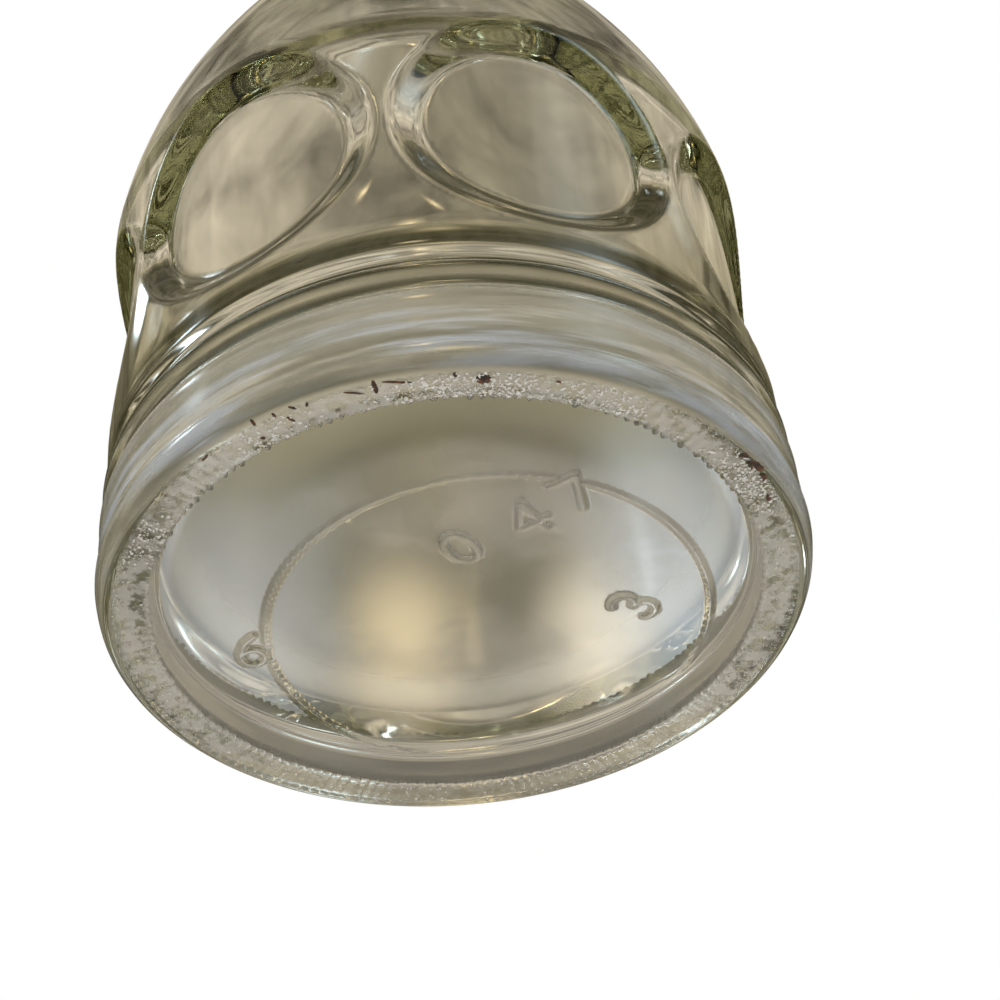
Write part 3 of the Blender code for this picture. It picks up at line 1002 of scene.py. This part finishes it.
# the stopper's glass, heights above the mouth in millimetres
stopperGlass = {
    "tint": (0.985, 0.985, 0.975, 1.0),
    "ior": 1.52,
    "depthColour": (0.50, 0.54, 0.32, 1.0),
    "depthDensity": 7.0,
    "polish": 0.010,
    "pitting": 0.04,
}
glassStopper = {
    "mouth": 192.0,
    "shank": 8.4,
    "tip": -24.1,
    "tipRound": 1.6,
    "seat": (2.2, 5.8),
    "seatRadius": 16.0,
    "seatRound": 1.2,
    "waist": 9.2,
    "knobLow": 10.2,
    "knob": (21.0, 38.0),
    "crownFlat": 6.0,
    "prints": 7,
    "printTurn": 20.4,
    "printRadius": 7.8,
    "printHollow": 0.8,
    "steps": 252,
}


def makeStopper(stopper, glass):
    mouth, waist = stopper["mouth"], stopper["waist"]
    radius, height = stopper["knob"]
    middle = stopper["knobLow"] + height / 2
    low, high = stopper["seat"]
    rounding = stopper["seatRound"]
    seat = stopper["seatRadius"] - rounding
    shank, tip, tipRound = stopper["shank"], stopper["tip"], stopper["tipRound"]
    start = math.degrees(math.asin(waist / radius)) - 90
    end = math.degrees(math.acos(stopper["crownFlat"] / radius))
    points = [(shank * share, tip) for share in (0.0, 0.3, 0.6)]
    points += ovalPoints((shank - tipRound, tip + tipRound), tipRound, tipRound, -90, 0, 5)
    points += linePoints(points[-1], (shank, low - 0.4), 22)[1:] + [(shank + 0.2, low), (shank + 1.5, low)]
    points += linePoints((shank + 1.5, low), (seat, low), 5)[1:]
    points += ovalPoints((seat, low + rounding), rounding, rounding, -90, 0, 5)[1:]
    points += ovalPoints((seat, high - rounding), rounding, rounding, 0, 90, 5)
    points += bendPoints((seat, high), (waist, high), (waist, high), (waist, stopper["knobLow"]), 12)[1:]
    points += ovalPoints((0.0, middle), radius, height / 2, start, end, 60)
    top = points[-1][1]
    points += [(stopper["crownFlat"] - 0.5, top), (3.0, top), (0.0, top)]
    mesh = latheMesh("glassStopper", ((stopper["steps"], [(r, h + mouth) for r, h in points]),))
    outwardFaces(mesh)
    positions = meshPositions(mesh) / mm
    hollow, reach = stopper["printHollow"], stopper["printRadius"]
    ballRadius = (reach ** 2 + hollow ** 2) / (2 * hollow)
    flat = math.sqrt(radius ** 2 - reach ** 2) - hollow
    for index in range(stopper["prints"]):
        turn = math.radians(stopper["printTurn"]) + tau * index / stopper["prints"]
        out = np.array((math.sin(turn), -math.cos(turn)))
        side = np.array((math.cos(turn), math.sin(turn)))
        away, across = positions[:, :2] @ out, positions[:, :2] @ side
        off = np.hypot(across, positions[:, 2] - mouth - middle)
        dish = flat + ballRadius - np.sqrt(np.maximum(ballRadius ** 2 - off ** 2, 0))
        pressed = (away > dish) & (off < reach + 2)
        positions[pressed, :2] += ((dish - away)[pressed, None]) * out
    setPositions(mesh, positions * mm)
    mesh.materials.append(glass)
    return addObject("glassStopper", mesh)


clearGlass = makeGlass("stopperGlass", stopperGlass, False)
stopper = makeStopper(glassStopper, clearGlass)
print("stopper:", len(stopper.data.polygons), "faces")


# the ribbed sleeve on the stopper's shank
sleevePlastic = {
    "colour": (0.86, 0.85, 0.80, 1.0),
    "shade": (0.74, 0.72, 0.64, 1.0),
    "roughness": 0.38,
    "dullSpread": (-0.08, 0.12),
    "dullRange": (0.3, 0.7),
    "cloud": (120.0, 4.0, 0.6),    # scale, detail and roughness of the noises
    "cloudRange": (0.4, 0.75),
    "fine": (1400.0, 3.0, 0.6),
    "bump": (0.2, 0.05),
    "glow": 0.25,
    "glowDepth": 1.5,
    "glowColour": (1.0, 0.9, 0.8),
}
sealingSleeve = {
    "bore": 8.7,
    "wall": 2.2,
    "flange": 15.4,
    "flangeHeights": (0.3, 1.9),
    "flangeRound": 0.4,
    "ribs": 5,
    "ribProud": 1.0,
    "ribTop": 4.2,
    "ribPitch": 3.4,
    "ribThickness": 1.4,
    "taper": 0.5,
    "length": 22.0,
    "steps": 160,
}


def makeSleeveMaterial(look):
    material, tree, shader, _ = newMaterial("sleevePlastic")
    place = placeNode(tree)
    share = rangeNode(tree, noiseNode(tree, place, *look["cloud"]), *look["cloudRange"], 0.0, 1.0)
    fine = noiseNode(tree, place, *look["fine"])
    levels = [look["roughness"] + step for step in look["dullSpread"]]
    fill(shader, {
        "Base Color": mixColours(tree, share, look["colour"], look["shade"]),
        "Roughness": rangeNode(tree, fine, *look["dullRange"], *levels),
        "Subsurface Weight": look["glow"],
        "Subsurface Radius": look["glowColour"],
        "Subsurface Scale": look["glowDepth"] * mm,
        "Normal": bumpNode(tree, fine, *look["bump"]),
    })
    return material


def makeSleeve(sleeve, plastic):
    low, high = sleeve["flangeHeights"]
    bore, edge = sleeve["bore"], sleeve["flangeRound"]
    tube, rim = bore + sleeve["wall"], sleeve["flange"] - edge
    thick, proud = sleeve["ribThickness"], sleeve["ribProud"]
    bottom, tip = low - sleeve["length"], tube - sleeve["taper"]
    points = [(bore, high)] + linePoints((bore + 0.3, high), (rim, high), 6)
    points += ovalPoints((rim, high - edge), edge, edge, 90, 0, 3)[1:]
    points += ovalPoints((rim, low + edge), edge, edge, 0, -90, 3)
    points += linePoints(points[-1], (tube + 0.4, low), 4)[1:] + [(tube, low - 0.4)]
    for index in range(sleeve["ribs"]):
        rib = low - sleeve["ribTop"] - sleeve["ribPitch"] * index
        points += [(tube, rib + thick * 0.62), (tube + proud * 0.35, rib + thick * 0.48)]
        points += ovalPoints((tube + proud - 0.35, rib + 0.1), 0.35, 0.35, 60, -70, 4)
        points += [(tube + proud * 0.5, rib - thick * 0.36), (tube, rib - thick * 0.52)]
    points += [(tip + 0.2, bottom + 0.3), (tip, bottom), (bore + 0.3, bottom), (bore, bottom + 0.3)]
    points += linePoints((bore, bottom + 0.3), (bore, high - 0.2), 6)[1:]
    outline = [(r, h + glassStopper["mouth"]) for r, h in points + points[:1]]
    mesh = latheMesh("sealingSleeve", ((sleeve["steps"], outline),))
    outwardFaces(mesh)
    mesh.materials.append(plastic)
    return addObject("sealingSleeve", mesh)


sleeve = makeSleeve(sealingSleeve, makeSleeveMaterial(sleevePlastic))
print("sleeve:", len(sleeve.data.polygons), "faces")


# floor, light and camera
stageLook = {
    "floorColour": (0.86, 0.86, 0.85, 1.0),
    "floorRoughness": 0.8,
    "floorSize": 9.0,
    "plainLight": 0.75,
    "cameraPlace": (0.0, -202.06, -158.86),
    "cameraRight": (0.99559, 0.04085, -0.08448),
    "cameraUp": (0.09037, -0.65980, 0.74599),
    "cameraForward": (0.02527, 0.75033, 0.66058),
    "lens": 72.0,
    "sensor": 36.0,
    # what the glass shows of the room, from straight down (0) to straight up (1)
    "roomRamp": (
        (0.00, (0.58, 0.53, 0.46)),
        (0.12, (0.80, 0.74, 0.65)),
        (0.26, (0.80, 0.74, 0.64)),
        (0.40, (0.62, 0.56, 0.46)),
        (0.50, (0.56, 0.51, 0.41)),
        (0.56, (0.24, 0.21, 0.13)),
        (0.64, (0.075, 0.068, 0.030)),
        (0.73, (0.030, 0.028, 0.008)),
        (0.815, (0.034, 0.031, 0.010)),
        (0.838, (0.10, 0.088, 0.045)),
        (0.855, (0.36, 0.31, 0.20)),
        (0.885, (0.56, 0.49, 0.37)),
        (0.93, (0.60, 0.53, 0.41)),
        (0.97, (0.36, 0.32, 0.24)),
        (1.00, (0.20, 0.17, 0.12)),
    ),
    "clutter": (9.0, 4.0, 0.55, 0.9),    # noise, range and strength of the room's uneven patches
    "clutterRange": (0.3, 0.7),
    "clutterStrength": 0.70,
    # lobes on top: direction, tightness, colour
    "roomLobes": (
        ((-0.78, -0.06, 0.62), 420.0, (13.0, 15.0, 16.0)),
        ((-0.80, -0.13, -0.59), 420.0, (6.0, 7.0, 7.5)),
        ((-0.06, -0.765, 0.64), 900.0, (14.0, 11.0, 6.0)),
        ((0.08, -0.95, 0.30), 130.0, (7.0, 5.6, 3.2)),
        ((0.68, -0.47, 0.56), 70.0, (3.0, 3.7, 4.0)),
    ),
    # and dark things: direction, tightness, what is left of the light
    "roomShadows": (
        ((0.0, -0.85, 0.50), 2.5, (0.22, 0.21, 0.15)),
        ((0.05, 0.62, 0.78), 70.0, (0.44, 0.44, 0.40)),
        ((0.02, 0.80, -0.60), 60.0, (0.55, 0.53, 0.45)),
        ((0.62, 0.62, -0.48), 15.0, (0.25, 0.24, 0.16)),
        ((-0.66, 0.66, -0.36), 15.0, (0.25, 0.24, 0.16)),
    ),
    # name, place, target, size, power and colour in metres and watts; the glints are small lamps
    # that show only as soft spots on the underside
    "lamps": (
        ("softKey", (-0.6, -0.5, 0.9), (0, 0, 0.08), (0.7, 0.7), 9.0, (1.0, 1.0, 1.0)),
        ("softFill", (0.8, -0.4, 0.6), (0, 0, 0.08), (0.6, 0.6), 5.0, (1.0, 0.97, 0.92)),
    ),
    "glints": (
        ("warmGlint", (-0.0136, 0.2826, -0.2157), (-0.0076, 0.0117, 0.006), (0.042, 0.028),
         0.0115, (1.0, 0.80, 0.46)),
        ("warmGlint2", (0.0312, 0.2852, -0.2162), (0.0153, 0.015, 0.006), (0.038, 0.028),
         0.0110, (1.0, 0.88, 0.66)),
        ("coolGlint", (0.0520, 0.2720, -0.2160), (0.0253, -0.001, 0.006), (0.060, 0.060),
         0.0260, (0.72, 0.86, 1.0)),
        ("coolGlint2", (-0.052, 0.276, -0.214), (-0.027, 0.003, 0.006), (0.060, 0.060),
         0.0150, (0.80, 0.89, 1.0)),
    ),
    "glintFade": (0.04, 0.5, 2.2),    # where the fade starts and ends, and the strength inside
}


def makeFloor(look):
    half = look["floorSize"] / 2
    corners = [(x * half, y * half, 0) for x, y in ((-1, -1), (1, -1), (1, 1), (-1, 1))]
    mesh = bpy.data.meshes.new("studioFloor")
    mesh.from_pydata(corners, [], [(0, 1, 2, 3)])
    material, tree, shader, output = newMaterial("floorPaper")
    fill(shader, {"Base Color": look["floorColour"], "Roughness": look["floorRoughness"]})
    # open from underneath
    clear = addNode(tree, "ShaderNodeBsdfTransparent")
    below = addNode(tree, "ShaderNodeNewGeometry").outputs["Backfacing"]
    mixShaders(tree, below, shader, clear, output)
    mesh.materials.append(material)
    floor = addObject("studioFloor", mesh)
    floor.visible_glossy = False
    floor.visible_transmission = False
    floor.visible_diffuse = False      # the ring touches the floor and would go black
    floor.visible_shadow = False


def makeWorld(look):
    world = bpy.data.worlds.new("plainRoom")
    bpy.context.scene.world = world
    world.use_nodes = True
    tree = world.node_tree
    tree.nodes.clear()
    direction = addNode(tree, "ShaderNodeTexCoord").outputs["Generated"]
    ramp = addNode(tree, "ShaderNodeValToRGB")
    ramp.color_ramp.interpolation = "EASE"
    stops = ramp.color_ramp.elements
    stops[0].color = (*look["roomRamp"][0][1], 1.0)
    stops[1].color = (*look["roomRamp"][-1][1], 1.0)
    for at, tint in look["roomRamp"][1:-1]:
        stops.new(at).color = (*tint, 1.0)
    feed(ramp.inputs[0], rangeNode(tree, splitNode(tree, direction)[2], -1.0, 1.0, 0.0, 1.0))
    strength, patches = look["clutterStrength"], noiseNode(tree, direction, *look["clutter"])
    shade = rangeNode(tree, patches, *look["clutterRange"], 1.0 - strength, 1.0 + strength)
    colour = mixColours(tree, 1.0, ramp.outputs[0], shade, "MULTIPLY")
    for names, far, blend in (("roomShadows", 1.0, "MULTIPLY"), ("roomLobes", 0.0, "ADD")):
        for toward, tightness, tint in look[names]:
            dot = measureNode(tree, "DOT_PRODUCT", direction, Vector(toward).normalized())
            lobe = mathNode(tree, "POWER", mathNode(tree, "MAXIMUM", dot, 0.0), tightness)
            local = mixColours(tree, lobe, (far, far, far, 1.0), (*tint, 1.0))
            colour = mixColours(tree, 1.0, colour, local, blend)
    path = addNode(tree, "ShaderNodeLightPath").outputs
    seen = mathNode(tree, "ADD", path["Is Glossy Ray"], path["Is Transmission Ray"], clamp=True)
    level = look["plainLight"]
    lit = mixColours(tree, seen, (level, level, level, 1.0), colour)
    shown = mixColours(tree, path["Is Camera Ray"], lit, (1.0, 1.0, 1.0, 1.0))
    addNode(tree, "ShaderNodeOutputWorld", addNode(tree, "ShaderNodeBackground", shown).outputs[0])


def addLamp(name, place, target, size, power, colour, fade=None):
    # a lamp with a fade is a glint: strong in its middle, gone at its rim, seen in glossy rays only
    data = bpy.data.lights.new(name, "AREA")
    data.shape = "ELLIPSE" if fade else "RECTANGLE"
    data.size, data.size_y = size
    data.energy = power
    data.color = colour
    lamp = addObject(name, data)
    lamp.location = place
    lamp.rotation_euler = (Vector(target) - Vector(place)).to_track_quat("-Z", "Y").to_euler()
    if fade:
        data.use_nodes = True
        tree = data.node_tree
        start, end, strength = fade
        spot = addNode(tree, "ShaderNodeNewGeometry").outputs["Parametric"]
        middle = measureNode(tree, "DISTANCE", spot, (0.5, 0.5, 0.0))
        level = rangeNode(tree, middle, start, end, strength, 0.0, True)
        feed(tree.nodes["Emission"].inputs["Strength"], level)
    lamp.visible_camera = False
    lamp.visible_glossy = bool(fade)
    lamp.visible_transmission = False
    lamp.visible_diffuse = not fade


def makeCamera(look):
    data = bpy.data.cameras.new("photoCamera")
    data.lens = look["lens"]
    data.sensor_width = look["sensor"]
    data.clip_start = 0.005
    camera = addObject("photoCamera", data)
    right, up, forward = (Vector(look[key]) for key in ("cameraRight", "cameraUp", "cameraForward"))
    turn = Matrix((right, up, -forward)).transposed().to_4x4()
    camera.matrix_world = Matrix.Translation(Vector(look["cameraPlace"]) * mm) @ turn
    bpy.context.scene.camera = camera


makeFloor(stageLook)
makeWorld(stageLook)
for lamp in stageLook["lamps"]:
    addLamp(*lamp)
for lamp in stageLook["glints"]:
    addLamp(*lamp, stageLook["glintFade"])
makeCamera(stageLook)
scene = bpy.context.scene
scene.view_settings.view_transform = "Standard"
scene.cycles.max_bounces = 48            # thick glass needs many passes
scene.cycles.transmission_bounces = 40
scene.cycles.glossy_bounces = 40
print("stage ready")

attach(decanter, "decanter")
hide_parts("glass_body")
for piece in (crust, dirt):
    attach(piece, "decanter")
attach(stopper, "stopper")
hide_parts("glass_stopper")
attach(sleeve, "stopper")
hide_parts("sealing_sleeve")

print("pieces placed")
